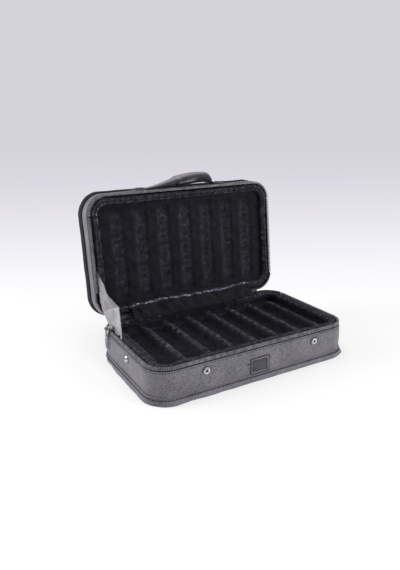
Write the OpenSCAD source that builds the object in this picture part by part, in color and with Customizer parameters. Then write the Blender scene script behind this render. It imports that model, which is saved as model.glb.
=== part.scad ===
// Zippered harmonica case, lid standing open, all sizes in millimetres.
// The origin is the middle of the underside, +X to the right, +Y to the hinge, +Z up.
// Base and lid are built alike: a cloth band over a board wall, a board panel, a skirt binding,
// a zipper half and a padded rim. The lid is the same shell turned over and swung about the hinge.

/* [Case] */
// Width over the side cloth, left to right
case_w = 250; // [246:1:280]
// Depth over the side cloth, front to back
case_d = 146; // [144:1:170]
// Radius of the upright corners
corner_r = 24; // [20:1:28]
// Height of the base, floor to zipper teeth
base_h = 41.5; // [40:0.5:55]
// Height of the lid, top panel to zipper teeth
lid_h = 29.5; // [28:0.5:40]
// Gap between the two rows of teeth when the lid is shut
mouth_gap = 1; // [1:0.1:2]
// Angle of the open lid from shut
open_angle = 96; // [60:1:100]

/* [Walls] */
// Thickness of the leather cloth
cover_t = 1.2; // [0.8:0.1:1.6]
// Thickness of the stiffening board
board_t = 2; // [1.5:0.1:2.4]
// Height of the open zipper strip above the cloth band
strip_h = 4.7; // [4.5:0.1:6]

/* [Binding and piping] */
// Height of the skirt binding round the outer edge
binding_h = 8; // [6:0.5:10]
// How far the skirt flares out past the wall
binding_out = 2.5; // [1.5:0.1:4]
// Radius of the piping cord above the skirt
piping_r = 0.9; // [0.6:0.1:1.2]

/* [Zipper] */
// Distance from tooth to tooth
tooth_pitch = 2.2; // [2:0.1:3]
// Height of a tooth
tooth_h = 3.1; // [2.8:0.1:3.2]
// Thickness of a tooth through the wall
tooth_t = 2.3; // [2:0.1:2.3]
// Thickness of the zipper tape
tape_t = 0.7; // [0.5:0.1:0.7]

/* [Padding] */
// Width of the padded rim
pad_w = 8; // [7:0.5:9]
// Height of the padded rim
pad_h = 8.2; // [7:0.1:8.4]

/* [Instrument tray] */
// Number of slots
slot_count = 7; // [5:1:7]
// Distance between slots
slot_pitch = 30; // [29:0.5:31]
// Width of a slot
slot_w = 21; // [18:0.5:22]
// Length of a slot
slot_l = 110; // [100:1:114]
// Height of the slot floor above the table
slot_floor = 21.5; // [15:0.5:23]

/* [Lid lining] */
// Depth of the lining below the lid's mouth
recess = 7; // [6:0.5:9]
// Width of a lining channel
channel_w = 20; // [16:0.5:22]
// Depth of a lining channel
channel_depth = 3; // [1:0.5:4]

/* [Handle] */
// Distance from the middle to each sewn end
handle_foot = 50; // [45:1:60]
// Height of the arch's middle line at its crown
handle_rise = 11; // [10.5:0.5:13]
// Place of the crown, right of the middle
handle_crown = 22; // [10:1:26]
// Width of the grip
grip_w = 20; // [16:1:22]
// Thickness of the grip
grip_t = 10; // [8:0.5:10.5]

/* [Trim] */
// Places of the two front rivets, left and right of the middle
front_rivets = [-66, 74];
// Height of the rivets above the table
rivet_z = 28; // [24:0.5:29]
// Width of the sewn front patch
patch_w = 24; // [16:1:30]
// Height of the sewn front patch
patch_h = 18.4; // [12:0.2:18.4]
// How far the side gusset bows into the case
gusset_bow = 9; // [0:1:12]

/* [Slider] */
// Length of the zipper slider
slider_l = 8; // [7:0.5:9]
// Place of the slider's middle, back from the middle of the case
slider_y = 46; // [40:1:46]
// Length of the pull, from its pin to its tip
pull_l = 25; // [20:1:26]

/* [Hidden] */
$fn = 48;

cloth = [0.16, 0.155, 0.17];
trim = [0.11, 0.105, 0.115];
board = [0.27, 0.26, 0.25];
plush = [0.09, 0.085, 0.12];
nylon = [0.2, 0.2, 0.21];
satin = [0.42, 0.41, 0.43];
nickel = [0.8, 0.8, 0.82];

// Shell levels, measured from a shell's outer panel towards its mouth
board_in = cover_t + board_t;
pad_out = cover_t + tape_t + 2.7;
pad_in = pad_out + pad_w;
side_half = case_d / 2 - corner_r;
front_half = case_w / 2 - corner_r;
seam_h = 5.3;
pad_sink = 0.3;
tape_end = side_half + 3;
rear_drop = 0.2;
closed_h = base_h + mouth_gap + lid_h;
hinge_y = case_d / 2 + 0.4;
hinge_z = base_h + mouth_gap / 2;

// Zipper strip; the tape and the board overlap the band's edge by seam_h
teeth_mid = cover_t + tape_t / 2;
teeth_end = side_half + 0.6;
corner_teeth = 16;
side_teeth = round((side_half + teeth_end) / tooth_pitch);
front_teeth = round(2 * front_half / tooth_pitch);
lid_left_clear = 9;

// Slider: two plates either side of the teeth, joined by a thin web between the rows
plate_t = 1.1;
plate_gap = tooth_t + 0.6;
slider_h = 9.2;
lip = 0.7;
pin_r = 0.6;
eye_r = 1.35;
pin_out = 2.9;

// Rivets
rivet_side_y = -7;
shank_r = 2;
head_r = 4.3;
washer_t = 0.8;

// Tray and lining
ridge_r = (slot_pitch - slot_w) / 2;
ridge_z = slot_floor + 5.5;
tray_top = base_h - pad_sink - pad_h;
slot_pad = 0.4;
slot_bed = slot_floor - slot_pad;
lining_top = lid_h - pad_sink - pad_h;
channel_r = (channel_w * channel_w / 4 + channel_depth * channel_depth) / (2 * channel_depth);
first_slot = -(slot_count - 1) / 2;

// Handle
handle_level = 16.5;
handle_z = closed_h - handle_level;
anchor_l = 12;
anchor_w = 13;
anchor_t = 3.2;
strap_w = 12;
strap_t = 1.6;
strap_foot_h = 1.6;
grip_left = -8;
grip_right = 42;
grip_end = 12;
wrap_fill = 0.85;
drop_steepness = 1.35;

// Outline of the case, drawn in by a distance
module outline(inset) {
    square([case_w - 2 * corner_r, case_d - 2 * inset], center = true);
    square([case_w - 2 * inset, case_d - 2 * corner_r], center = true);
    for (x = [-1, 1], y = [-1, 1])
        translate([x * front_half, y * side_half])
            circle(r = corner_r - inset);
}

module plate(inset, z0, z1) {
    translate([0, 0, z0])
        linear_extrude(z1 - z0)
            outline(inset);
}

module wall(inset, t, z0, z1) {
    translate([0, 0, z0])
        linear_extrude(z1 - z0)
            difference() {
                outline(inset);
                outline(inset + t);
            }
}

// A profile whose first axis is the distance out from the wall, carried along one side
module side_run(y0, y1) {
    translate([case_w / 2, y1, 0])
        rotate([90, 0, 0])
            linear_extrude(y1 - y0)
                children();
}

module front_run() {
    rotate([0, 0, -90])
        translate([case_d / 2, front_half, 0])
            rotate([90, 0, 0])
                linear_extrude(2 * front_half)
                    children();
}

module corner_run(x, y, turn) {
    translate([x * front_half, y * side_half, 0])
        rotate([0, 0, turn])
            rotate_extrude(angle = 90)
                translate([corner_r, 0])
                    children();
}

// A profile carried round the three sides that the zipper follows
module zip_sweep(reach) {
    for (s = [0, 1])
        mirror([s, 0, 0]) {
            side_run(-side_half, reach) children();
            corner_run(1, -1, -90) children();
        }
    front_run() children();
}

// A profile carried all the way round
module ring_sweep() {
    zip_sweep(side_half) children();
    for (s = [0, 1])
        mirror([s, 0, 0])
            corner_run(1, 1, 0) children();
    rotate([0, 0, 180]) front_run() children();
}

// The lid is built upside down, then turned over onto the base and swung open
module swing_open() {
    translate([0, hinge_y, hinge_z])
        rotate([-open_angle, 0, 0])
            translate([0, -hinge_y, -hinge_z])
                children();
}

module on_lid() {
    swing_open()
        translate([0, 0, closed_h])
            mirror([0, 0, 1])
                children();
}

// Where a point of the shut lid goes when the lid stands open
function opened(y, z) = [
    hinge_y + (y - hinge_y) * cos(open_angle) + (z - hinge_z) * sin(open_angle),
    hinge_z - (y - hinge_y) * sin(open_angle) + (z - hinge_z) * cos(open_angle)
];

// The end of a skin, filled in with pairs of triangles across the ring, like rungs
function ladder(n) = [
    for (j = [0:n / 2 - 2]) for (half = [0, 1])
        half == 0 ? [j, j + 1, n - 2 - j] : [j, n - 2 - j, n - 1 - j]
];

// A closed skin over a list of rings with the same even number of points each
module skin(rings) {
    n = len(rings[0]);
    m = len(rings);
    points = [for (ring = rings) for (p = ring) p];
    sides = [
        for (i = [0:m - 2]) for (j = [0:n - 1]) for (half = [0, 1])
            half == 0
            ? [i * n + j, (i + 1) * n + j, (i + 1) * n + (j + 1) % n]
            : [i * n + j, (i + 1) * n + (j + 1) % n, i * n + (j + 1) % n]
    ];
    last = (m - 1) * n;
    start = ladder(n);
    end = [for (f = ladder(n)) [last + f[0], last + f[2], last + f[1]]];
    polyhedron(points = points, faces = concat(sides, start, end), convexity = 6);
}

// Base and lid share these pieces; h is the shell's height
module side_cover(h) {
    wall(0, cover_t, cover_t, h - strip_h);
    intersection() {
        wall(0, cover_t, h - strip_h, h - rear_drop);
        translate([-case_w, tape_end, 0])
            cube([2 * case_w, case_d, h]);
    }
}

module wall_board(h) {
    wall(cover_t, board_t, board_in, h - strip_h - seam_h);
    intersection() {
        wall(cover_t, board_t, h - strip_h - seam_h, h - rear_drop);
        translate([-case_w, tape_end, 0])
            cube([2 * case_w, case_d, h]);
    }
}

module binding() {
    ring_sweep()
        polygon([
            [0, 0], [binding_out, 0], [binding_out, 0.9],
            [1.3, binding_h - 1.6], [1, binding_h], [0, binding_h]
        ]);
}

module piping() {
    ring_sweep()
        intersection() {
            translate([0.5, binding_h + 0.7])
                circle(r = piping_r);
            translate([0, binding_h])
                square([2, 3]);
        }
}

module zipper_tape(h) {
    zip_sweep(tape_end)
        translate([-cover_t - tape_t, h - strip_h - seam_h])
            square([tape_t, strip_h + seam_h - tooth_h]);
}

// One moulded tooth: a foot on the tape's edge, a neck and a head
module tooth(h) {
    half = [[0.75, 0], [0.75, 1.2], [0.45, 1.6], [0.45, 1.9], [0.7, 2.3], [0.5, tooth_h]];
    n = len(half);
    translate([-teeth_mid - tooth_t / 2, 0, h - tooth_h])
        rotate([90, 0, 90])
            linear_extrude(tooth_t)
                polygon(concat(half, [for (i = [n - 1:-1:0]) [-half[i][0], half[i][1]]]));
}

// The row is set by phase, so that the lid's teeth stand between the base's
module zipper_teeth(h, phase, left_clear) {
    side_step = (side_half + teeth_end) / side_teeth;
    turn_step = 90 / corner_teeth;
    front_step = 2 * front_half / front_teeth;
    skipped = ceil(left_clear / side_step);
    for (s = [0, 1])
        mirror([s, 0, 0]) {
            for (i = [0:side_teeth - 1 - s * skipped])
                translate([case_w / 2, -side_half + (i + phase) * side_step, 0])
                    tooth(h);
            for (i = [0:corner_teeth - 1])
                translate([front_half, -side_half, 0])
                    rotate([0, 0, -(i + phase) * turn_step])
                        translate([corner_r, 0, 0])
                            tooth(h);
        }
    for (i = [0:front_teeth - 1])
        rotate([0, 0, -90])
            translate([case_d / 2, -front_half + (i + phase) * front_step, 0])
                tooth(h);
}

module zipper_stop(h, side) {
    translate([side * (case_w / 2 - teeth_mid), teeth_end + 1.5, h - tooth_h + 1.4])
        cube([tooth_t + 0.2, 1.6, 2.8], center = true);
}

// Padded rim with a half-round crown
module rim_pad(h) {
    ring_sweep()
        translate([-pad_in, h - pad_sink - pad_h]) {
            square([pad_w, pad_h - pad_w / 2]);
            translate([pad_w / 2, pad_h - pad_w / 2])
                circle(r = pad_w / 2);
        }
}

module base_bottom_cover() {
    color(cloth) plate(0, 0, cover_t);
}

module base_bottom_board() {
    color(board) plate(cover_t, cover_t, board_in);
}

// The places of the rivets, with the head looking out of the wall
module at_rivets() {
    for (x = front_rivets)
        translate([x, -case_d / 2, rivet_z])
            rotate([90, 0, 0])
                children();
    for (s = [-1, 1])
        translate([s * case_w / 2, rivet_side_y, rivet_z])
            rotate([0, s * 90, 0])
                children();
}

module rivet_hole() {
    translate([0, 0, -6])
        cylinder(r = shank_r + 0.1, h = 8);
}

module base_side_cover() {
    color(cloth)
        difference() {
            side_cover(base_h);
            at_rivets() rivet_hole();
        }
}

module base_wall_board() {
    color(board)
        difference() {
            wall_board(base_h);
            at_rivets() rivet_hole();
        }
}

module base_binding() {
    color(trim) binding();
}

module base_piping() {
    color(cloth) piping();
}

module base_zipper_tape() {
    color(nylon) zipper_tape(base_h);
}

module base_zipper_teeth() {
    color(nylon) zipper_teeth(base_h, 0.25, 0);
}

module base_zipper_stops() {
    color(nickel)
        for (side = [-1, 1])
            zipper_stop(base_h, side);
}

module base_rim_pad() {
    color(plush) rim_pad(base_h);
}

module rounded_slot(w, l, r) {
    square([w - 2 * r, l], center = true);
    square([w, l - 2 * r], center = true);
    for (x = [-1, 1], y = [-1, 1])
        translate([x * (w / 2 - r), y * (l / 2 - r)])
            circle(r = r);
}

// Foam block that the slots stand on, with a thin pad for the floor of each slot
module tray_floor() {
    play = 0.2;
    color(plush) {
        plate(pad_out, board_in, slot_bed);
        for (i = [0:slot_count - 1])
            translate([(first_slot + i) * slot_pitch, 0, slot_bed - 1])
                linear_extrude(slot_pad + 1)
                    square([slot_w - play, slot_l - play], center = true);
    }
}

// Foam frame round the slots, with a step up under the padded rim
module tray_frame() {
    color(plush)
        difference() {
            plate(pad_out, slot_bed, tray_top);
            plate(pad_in, ridge_z, tray_top + 1);
            translate([0, 0, slot_bed - 1])
                linear_extrude(10)
                    rounded_slot(slot_count * slot_pitch + 2 * ridge_r, slot_l, 0.5);
        }
}

// Padded dividers with half-round tops, one on each side of every slot
module slot_dividers() {
    color(plush)
        for (i = [0:slot_count])
            translate([(first_slot + i - 0.5) * slot_pitch, slot_l / 2, slot_bed])
                rotate([90, 0, 0])
                    linear_extrude(slot_l) {
                        translate([-ridge_r, 0])
                            square([2 * ridge_r, ridge_z - slot_bed]);
                        intersection() {
                            translate([0, ridge_z - slot_bed])
                                circle(r = ridge_r);
                            translate([-ridge_r, 0])
                                square([2 * ridge_r, 20]);
                        }
                    }
}

module front_patch() {
    patch_t = 0.9;
    above_skirt = 1.7;
    color(trim)
        translate([0, -case_d / 2, binding_h + above_skirt + patch_h / 2])
            rotate([90, 0, 0])
                linear_extrude(patch_t)
                    rounded_slot(patch_w, patch_h, 0.8);
}

// Tubular rivets: a domed ring with a hole through, and a rolled end inside
module band_rivets() {
    color(nickel)
        at_rivets()
            rotate_extrude() {
                polygon([
                    [1.3, -4.3], [shank_r, -4.3], [shank_r, 0], [head_r, 0],
                    [head_r - 0.2, 0.7], [head_r - 0.9, 1.3], [2.5, 1.5], [1.7, 1.3], [1.3, 0.8]
                ]);
            }
}

module rivet_washers() {
    color(nickel)
        at_rivets()
            translate([0, 0, -board_in - washer_t])
                difference() {
                    cylinder(r = head_r - 0.4, h = washer_t);
                    translate([0, 0, -1])
                        cylinder(r = shank_r + 0.1, h = washer_t + 2);
                }
}

// Cloth strip over the back seam, bent where the lid turns
module hinge_cover() {
    reach = 15;
    t = 1;
    gap = 0.1;
    back = case_d / 2 + gap;
    lid_side = [for (d = [1, reach]) opened(back, hinge_z + d)];
    lid_out = [for (d = [reach, 2]) opened(back + t, hinge_z + d)];
    color(cloth)
        translate([-front_half + 4, 0, 0])
            rotate([90, 0, 90])
                linear_extrude(2 * front_half - 8)
                    polygon(concat(
                        [[back + t, hinge_z - reach], [back + t, hinge_z - 1.8]],
                        [lid_out[1], lid_out[0], lid_side[1], lid_side[0]],
                        [[back, hinge_z - 0.2], [back, hinge_z - reach]]
                    ));
}

// Lining flap that hides the hinge from inside, from the base's pad up to the lid's
module hinge_flap() {
    t = 1;
    half_w = 86;
    near = case_d / 2 - pad_in - 1.2;
    far = near + t;
    top = base_h + 0.1;
    lid_low = closed_h - lid_h + 1;
    lid_high = closed_h - lid_h + recess - 0.6;
    color(plush)
        translate([-half_w, 0, 0])
            rotate([90, 0, 90])
                linear_extrude(2 * half_w)
                    polygon([
                        [near, tray_top + 0.1], [near, top + 0.5],
                        opened(near, lid_low), opened(near, lid_high),
                        opened(far, lid_high), opened(far, lid_low + 0.2),
                        [far, top], [far, tray_top + 0.1]
                    ]);
}

// Side gusset that stops the lid, sewn between the tape and the padding on the left side.
// Along the seam it runs from the free front edge (s = 0) to the hinge end (s = 1), and from
// the base (t = 0) up to the lid (t = 1). It bows into the case by a half sine.
function gusset_point(s, t, side) =
    let (
        foot = [10 + 38 * s, base_h - 3],
        head = opened(14 + 34 * s, closed_h - lid_h + 3),
        bow = gusset_bow * pow(1 - s, 1.3) * sin(180 * t) * (0.75 + 0.25 * sin(360 * t)),
        yz = foot + t * (head - foot)
    )
    [-case_w / 2 + pad_out - 0.45 + side + bow, yz[0], yz[1]];

module side_gusset() {
    t_steps = 12;
    s_steps = 8;
    thickness = 0.4;
    color(satin)
        skin([
            for (i = [0:s_steps])
                concat(
                    [for (j = [0:t_steps]) gusset_point(i / s_steps, j / t_steps, 0)],
                    [for (j = [t_steps:-1:0]) gusset_point(i / s_steps, j / t_steps, thickness)]
                )
        ]);
}

module lid_top_cover() {
    color(cloth) on_lid() plate(0, 0, cover_t);
}

module lid_top_board() {
    color(board) on_lid() plate(cover_t, cover_t, board_in);
}

module lid_side_cover() {
    color(cloth) on_lid() side_cover(lid_h);
}

module lid_wall_board() {
    color(board) on_lid() wall_board(lid_h);
}

module lid_binding() {
    color(trim) on_lid() binding();
}

module lid_piping() {
    color(cloth) on_lid() piping();
}

module lid_zipper_tape() {
    color(nylon) on_lid() zipper_tape(lid_h);
}

module lid_zipper_teeth() {
    color(nylon) on_lid() zipper_teeth(lid_h, 0.75, lid_left_clear);
}

module lid_zipper_stop() {
    color(nickel) on_lid() zipper_stop(lid_h, 1);
}

module lid_rim_pad() {
    color(plush) on_lid() rim_pad(lid_h);
}

// Foam lining with a shallow round-bottomed channel over each slot
module lid_lining() {
    rib_top = lid_h - recess;
    color(plush)
        on_lid()
            difference() {
                union() {
                    plate(pad_out, board_in, lining_top);
                    plate(pad_in, lining_top, rib_top);
                }
                for (i = [0:slot_count - 1])
                    translate([(first_slot + i) * slot_pitch, 0, rib_top - channel_depth + channel_r])
                        rotate([90, 0, 0])
                            cylinder(r = channel_r, h = slot_l + 2, center = true);
            }
}

// Sewn tabs that hold the ends of the handle on the lid's front band
module handle_anchors() {
    color(trim)
        swing_open()
            for (s = [-1, 1])
                translate([s * (handle_foot + anchor_l / 2 + 0.3), -case_d / 2, handle_z])
                    rotate([90, 0, 0])
                        linear_extrude(anchor_t)
                            rounded_slot(anchor_l, anchor_w, 3);
}

// Middle line of the arch: a half wave up to the crown, a level top and a steep wave down
function arch_h(x) =
    let (s = x < handle_crown
        ? (x + handle_foot) / (handle_crown + handle_foot)
        : min(1, drop_steepness * (handle_foot - x) / (handle_foot - handle_crown)))
    strap_foot_h + (handle_rise - strap_foot_h) * (1 - cos(180 * s)) / 2;

function arch_slope(x) = atan((arch_h(x + 0.1) - arch_h(x - 0.1)) / 0.2);

// How full the padding is: steadily more along the left strap, then full, and rounded off
// over a short length at the grip's right end
function padding(x) =
    let (
        left = x < grip_left
            ? wrap_fill * (x + handle_foot) / (grip_left + handle_foot)
            : wrap_fill + (1 - wrap_fill) * min(1, (x - grip_left) / grip_end),
        s = min(1, max(0, (grip_right - x) / grip_end))
    )
    left * sqrt(1 - pow(1 - s, 2));

// One oval section of the handle, square to the arch
function handle_ring(x, w, t, n = 16) = [
    for (k = [0:n - 1])
        let (
            c = cos(360 * k / n),
            d = sin(360 * k / n),
            across = w / 2 * sign(c) * pow(abs(c), 0.6),
            up = t / 2 * sign(d) * pow(abs(d), 0.8),
            lean = arch_slope(x)
        )
        [x - up * sin(lean), -case_d / 2 - arch_h(x) - up * cos(lean), handle_z + across]
];

function handle_rings(x0, x1, steps) = [
    for (i = [0:steps])
        let (x = x0 + (x1 - x0) * i / steps, fill = padding(x))
        handle_ring(x, strap_w + (grip_w - strap_w) * fill, strap_t + (grip_t - strap_t) * fill)
];

// Padded left run of the handle, which thickens from its sewn end to the grip
module handle_strap_left() {
    color(cloth) swing_open() skin(handle_rings(-handle_foot, grip_left, 14));
}

module handle_strap_right() {
    color(cloth) swing_open() skin(handle_rings(grip_right, handle_foot, 5));
}

module handle_grip() {
    color(cloth) swing_open() skin(handle_rings(grip_left, grip_right, 22));
}

// Frame of the slider: x out of the left wall from the middle of the teeth, y along the zipper
module at_slider() {
    translate([-case_w / 2 + teeth_mid, slider_y, hinge_z])
        mirror([1, 0, 0])
            children();
}

module slider_plate(sign) {
    from = sign > 0 ? plate_gap / 2 : -plate_gap / 2 - plate_t;
    translate([from, 0, 0])
        rotate([90, 0, 90])
            linear_extrude(plate_t)
                rounded_slot(slider_l, slider_h, 1.6);
    for (up = [-1, 1])
        translate([sign * (plate_gap - lip + 0.1) / 2, 0, up * (slider_h / 2 - 0.4)])
            cube([lip + 0.1, slider_l - 3.2, 0.8], center = true);
}

module zipper_slider() {
    color(nickel)
        at_slider() {
            slider_plate(1);
            slider_plate(-1);
            cube([plate_gap + 0.2, 4, 0.6], center = true);
            translate([plate_gap / 2 + plate_t + pin_out - plate_t, 0, 2])
                rotate([90, 0, 0])
                    cylinder(r = pin_r, h = 5.4, center = true);
            for (s = [-1, 1])
                translate([(plate_gap / 2 + plate_t + plate_gap / 2 + pin_out + pin_r) / 2, s * 2.3, 2])
                    cube([pin_out + pin_r - plate_t, 1, 2 * pin_r + 0.4], center = true);
        }
}

// The pull hangs from the slider's pin: an eye, a neck and a flat tab with a slot
module zipper_pull() {
    tab_t = 1;
    tab_w = 6.4;
    slot = 3;
    color(nickel)
        at_slider()
            translate([plate_gap / 2 + pin_out, 0, 2])
                difference() {
                    union() {
                        rotate([90, 0, 0])
                            cylinder(r = eye_r, h = 2.6, center = true);
                        translate([-tab_t / 2, 0, 0])
                            rotate([90, 0, 90])
                                linear_extrude(tab_t)
                                    pull_outline(tab_w);
                    }
                    rotate([90, 0, 0])
                        cylinder(r = pin_r + 0.15, h = 4, center = true);
                    translate([-tab_t, 0, -pull_l + tab_w / 2 + 4.5])
                        rotate([90, 0, 90])
                            linear_extrude(2 * tab_t)
                                rounded_slot(slot, 11, slot / 2 - 0.01);
                }
}

module pull_outline(w) {
    translate([0, -pull_l + w / 2])
        circle(r = w / 2);
    polygon([
        [-1.3, 0], [1.3, 0], [1.3, -4], [w / 2, -9],
        [w / 2, -pull_l + w / 2], [-w / 2, -pull_l + w / 2], [-w / 2, -9], [-1.3, -4]
    ]);
}

base_bottom_cover();
base_bottom_board();
base_side_cover();
base_wall_board();
base_binding();
base_piping();
base_zipper_tape();
base_zipper_teeth();
base_zipper_stops();
base_rim_pad();
tray_floor();
tray_frame();
slot_dividers();
front_patch();
band_rivets();
rivet_washers();
hinge_cover();
hinge_flap();
side_gusset();
lid_top_cover();
lid_top_board();
lid_side_cover();
lid_wall_board();
lid_binding();
lid_piping();
lid_zipper_tape();
lid_zipper_teeth();
lid_zipper_stop();
lid_rim_pad();
lid_lining();
handle_anchors();
handle_strap_left();
handle_strap_right();
handle_grip();
zipper_slider();
zipper_pull();
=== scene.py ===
# %% [markdown]
# # A zippered instrument case in leather cloth and plush
#
# The case is two shallow boxes joined along the back by a cloth hinge. Outside it is a thin black
# coated cloth over board, stitched all round; inside it is black plush over foam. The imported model
# gives every piece its real size and place. This lesson dresses it: each soft piece is worked out
# again as a fine surface, with the folds, puckers and stitches that a solid model leaves out.

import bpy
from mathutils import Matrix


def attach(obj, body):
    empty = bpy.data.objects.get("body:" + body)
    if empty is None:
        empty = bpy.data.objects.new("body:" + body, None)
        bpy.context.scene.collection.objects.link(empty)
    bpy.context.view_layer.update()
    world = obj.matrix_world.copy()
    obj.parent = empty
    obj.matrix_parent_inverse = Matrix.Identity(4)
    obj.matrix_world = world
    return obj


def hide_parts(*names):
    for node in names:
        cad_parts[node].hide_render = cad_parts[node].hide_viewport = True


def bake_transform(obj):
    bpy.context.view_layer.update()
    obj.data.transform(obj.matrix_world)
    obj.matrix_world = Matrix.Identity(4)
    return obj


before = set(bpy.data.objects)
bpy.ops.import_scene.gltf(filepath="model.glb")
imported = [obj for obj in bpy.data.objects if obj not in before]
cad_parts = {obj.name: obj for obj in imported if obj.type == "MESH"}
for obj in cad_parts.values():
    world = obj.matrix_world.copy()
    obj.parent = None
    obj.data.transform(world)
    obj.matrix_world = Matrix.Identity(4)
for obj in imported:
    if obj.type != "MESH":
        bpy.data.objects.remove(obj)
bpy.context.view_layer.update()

# %% [markdown]
# ## Sizes and the open lid
#
# Sizes are written in millimetres, as on a drawing for a workshop, and turned to metres once, when a
# mesh is made. Both shells are drawn the same way up, from their outer panel towards their mouth.
# The lid's points are then turned over onto the base and swung back about the hinge line, so base
# and lid share every function below.

# %% Sizes of the case
import math

import bpy
import numpy as np
from mathutils import Matrix, Vector

CASE_W, CASE_D, CORNER = 250.0, 146.0, 24.0
BASE_H, LID_H, SHUT_H = 41.5, 29.5, 72.0
STRIP_H, BINDING_H = 4.7, 8.0
HINGE_Y, HINGE_Z, OPEN = 73.4, 42.0, math.radians(96)
PAD_OUT, PAD_IN, PAD_H = 4.6, 12.6, 8.2


def swing_open(points):
    """Shut-lid points turned back about the hinge line by the opening angle."""
    x, y, z = points[..., 0], points[..., 1] - HINGE_Y, points[..., 2] - HINGE_Z
    c, s = math.cos(OPEN), math.sin(OPEN)
    return np.stack([x, HINGE_Y + y * c + z * s, HINGE_Z - y * s + z * c], -1)


def on_lid(points):
    """Shell points, measured up from the outer panel, turned over onto the base and opened."""
    return swing_open(points * [1, 1, -1] + [0, 0, SHUT_H])


# %% [markdown]
# ## The outline as a path
#
# Bands, bindings, stitches and padded rims all follow the same rounded rectangle. A station on it
# is a distance walked from the middle of the back. The straight runs and the quarter turns fit one
# formula: a centre that slides along the straights and stands still in the corners, and an arm
# that turns only in the corners.

# %% The rounded outline
HALF_X, HALF_Y = CASE_W / 2 - CORNER, CASE_D / 2 - CORNER
QUARTER = CORNER * math.pi / 2
LEGS = [HALF_X, QUARTER, 2 * HALF_Y, QUARTER, 2 * HALF_X, QUARTER, 2 * HALF_Y, QUARTER, HALF_X]
MARKS = np.concatenate([[0], np.cumsum(LEGS)])
ROUND = MARKS[-1]


def outline(s):
    """Point and outward direction at station s: centre + radius x (cos, sin) of the arm's angle."""
    s = np.mod(s, ROUND)
    cx = np.interp(s, MARKS, np.array([0, -1, -1, -1, -1, 1, 1, 1, 1, 0]) * HALF_X)
    cy = np.interp(s, MARKS, np.array([1, 1, 1, -1, -1, -1, -1, 1, 1, 1]) * HALF_Y)
    turn = np.radians(np.interp(s, MARKS, [90, 90, 180, 180, 270, 270, 360, 360, 450, 450]))
    out = np.stack([np.cos(turn), np.sin(turn)], -1)
    return np.stack([cx, cy], -1) + CORNER * out, out


def round_the_case(s, out, up):
    """Points at station s, `out` mm outside the side cloth and `up` mm from the outer panel."""
    s, out, up = np.broadcast_arrays(s, out, up)
    point, away = outline(s)
    return np.concatenate([point + away * out[..., None], up[..., None]], -1)


print(f"once round the case is {ROUND:.0f} mm")

# %% [markdown]
# ## Unevenness
#
# Cloth is never quite straight. Two random fields give every piece its small faults: ripples, a
# sum of plane waves with random headings, which has no seam because it reads the point in space,
# and puckers, a sum of whole waves round the case, which closes on itself.

# %% Ripples and puckers
def ripples(points, length, seed, count=12):
    """The mean of `count` sine waves through space, each about `length` mm long, scaled to +-1."""
    rng = np.random.default_rng(seed)
    heading = rng.normal(size=(count, 3))
    heading /= np.linalg.norm(heading, axis=1, keepdims=True)
    heading *= 2 * math.pi / (length * rng.uniform(0.7, 1.4, (count, 1)))
    return np.sin(points @ heading.T + rng.uniform(0, 6.28, count)).sum(-1) / math.sqrt(count)


def puckers(s, length, seed, total=ROUND):
    """Whole waves round a path `total` mm long, with random sizes, near `length` mm each."""
    rng = np.random.default_rng(seed)
    waves = np.arange(max(1, round(total / length / 1.5)), round(total / length / 0.65) + 1)
    size, phase = rng.normal(size=waves.size), rng.uniform(0, 6.28, waves.size)
    turns = np.asarray(s)[..., None] * waves * 2 * math.pi / total + phase
    return (size * np.sin(turns)).sum(-1) / np.sqrt((size**2).sum())


def ease(x, a, b):
    """0 before a, 1 after b, and a smooth S between."""
    t = np.clip((np.asarray(x, float) - a) / (b - a), 0, 1)
    return t * t * (3 - 2 * t)


# %% [markdown]
# ## From arrays to a mesh
#
# Every surface here is a grid of points: stations one way, a profile the other. The faces of such
# a grid are known from its size alone, so they are worked out as whole arrays. The lid's pieces
# are mirrored, which would turn them inside out, so their faces are written the other way round.

# %% Grids, pieces and their texture map
def grid_faces(rows, cols, closed_rows=False, closed_cols=False):
    """Quads of a rows x cols grid as point numbers, and the same corners as grid places."""
    i = np.arange(rows if closed_rows else rows - 1)
    j = np.arange(cols if closed_cols else cols - 1)
    i, j = (a.ravel() for a in np.meshgrid(i, j, indexing="ij"))
    place = np.stack([[i, j], [i + 1, j], [i + 1, j + 1], [i, j + 1]]).transpose(2, 0, 1)
    return (place[..., 0] % rows) * cols + place[..., 1] % cols, place


def edge_walls(rows, cols):
    """Quads that join the edges of two grids of one size, the second numbered after the first."""
    n = rows * cols
    k = np.arange(n).reshape(rows, cols)
    rim = np.concatenate([k[0, :-1], k[:-1, -1], k[-1, :0:-1], k[:0:-1, 0]])
    return np.stack([rim, rim + n, np.roll(rim, -1) + n, np.roll(rim, -1)], 1)[:, ::-1]


def new_mesh(name, points, faces, flip=False):
    """A smooth-shaded object at the origin, from points in millimetres."""
    mesh = bpy.data.meshes.new(name)
    faces = np.asarray(faces)[:, ::-1] if flip else np.asarray(faces)
    mesh.from_pydata((np.asarray(points).reshape(-1, 3) * 0.001).tolist(), [], faces.tolist())
    mesh.shade_smooth()
    obj = bpy.data.objects.new(name, mesh)
    bpy.context.scene.collection.objects.link(obj)
    return obj


def write_map(obj, corners, flip=False):
    """Writes a texture map, in metres, from one (u, v) pair in millimetres per face corner."""
    corners = corners[:, ::-1] if flip else corners
    layer = obj.data.uv_layers.new(name="cloth_map")
    layer.data.foreach_set("uv", (corners.reshape(-1) * 0.001).astype(np.float32))


def write_value(obj, name, values):
    """Writes one number per point, which a finish reads by that name."""
    layer = obj.data.attributes.new(name, "FLOAT", "POINT")
    layer.data.foreach_set("value", np.asarray(values, np.float32).ravel())


def finish_piece(obj, body, material, stands_for=()):
    """Gives a piece its finish and its body, and says which solids it stands for."""
    obj.data.materials.append(material)
    if stands_for:
        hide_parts(*stands_for)
    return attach(obj, body) if body else obj


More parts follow.
